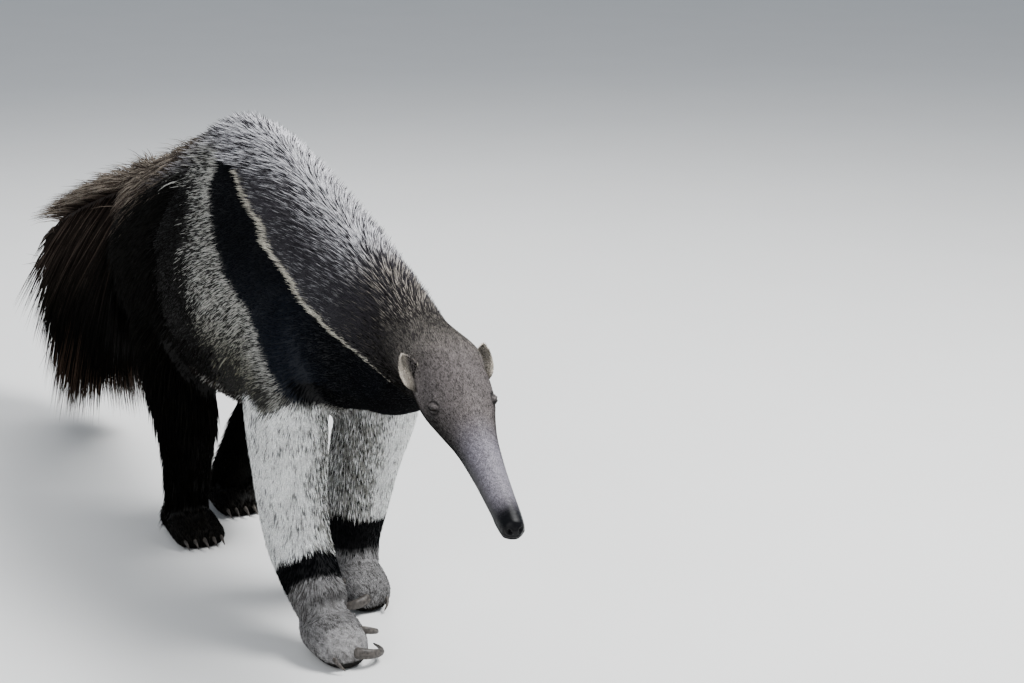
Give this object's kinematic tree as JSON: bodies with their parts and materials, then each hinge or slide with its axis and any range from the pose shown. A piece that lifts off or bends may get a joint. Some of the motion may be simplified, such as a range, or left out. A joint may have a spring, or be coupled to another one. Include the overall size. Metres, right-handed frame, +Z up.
{
  "type": "giant anteater",
  "caption": "Still life-size model of a giant anteater in mid stride, with a long tapering snout, folded fore claws and a deep hairy tail.",
  "frame": {"origin": "middle of the box round the whole animal, on the floor it stands on", "axes": "+X the way the body faces, +Y its left side, +Z up"},
  "size_m": [2.0708, 0.2782, 0.7021],
  "materials": {
    "head_fur": "short grey-brown fur",
    "neck_fur": "speckled dark grey fur",
    "back_fur": "coarse speckled fur with a black shoulder stripe",
    "tail_fur": "long coarse dark brown hair",
    "pale_fur": "short cream and grey fur",
    "dark_fur": "near-black fur",
    "claw": "worn grey horn",
    "eye": "wet dark eye"
  },
  "bodies": {
    "root": {"head": "head_fur", "neck": "neck_fur", "torso": "back_fur", "tail": "tail_fur", "ear_right": "head_fur", "eye_right": "eye", "foreleg_right": "pale_fur", "forefoot_right": "pale_fur", "hind_leg_right": "dark_fur", "hind_foot_right": "dark_fur", "foreclaw_big_right": "claw", "foreclaw_second_right": "claw", "foreclaw_small_right": "claw", "hind_claw_1_right": "claw", "hind_claw_2_right": "claw", "hind_claw_3_right": "claw", "hind_claw_4_right": "claw", "hind_claw_5_right": "claw", "ear_left": "head_fur", "eye_left": "eye", "foreleg_left": "pale_fur", "forefoot_left": "pale_fur", "hind_leg_left": "dark_fur", "hind_foot_left": "dark_fur", "foreclaw_big_left": "claw", "foreclaw_second_left": "claw", "foreclaw_small_left": "claw", "hind_claw_1_left": "claw", "hind_claw_2_left": "claw", "hind_claw_3_left": "claw", "hind_claw_4_left": "claw", "hind_claw_5_left": "claw"}
  },
  "joints": []
}
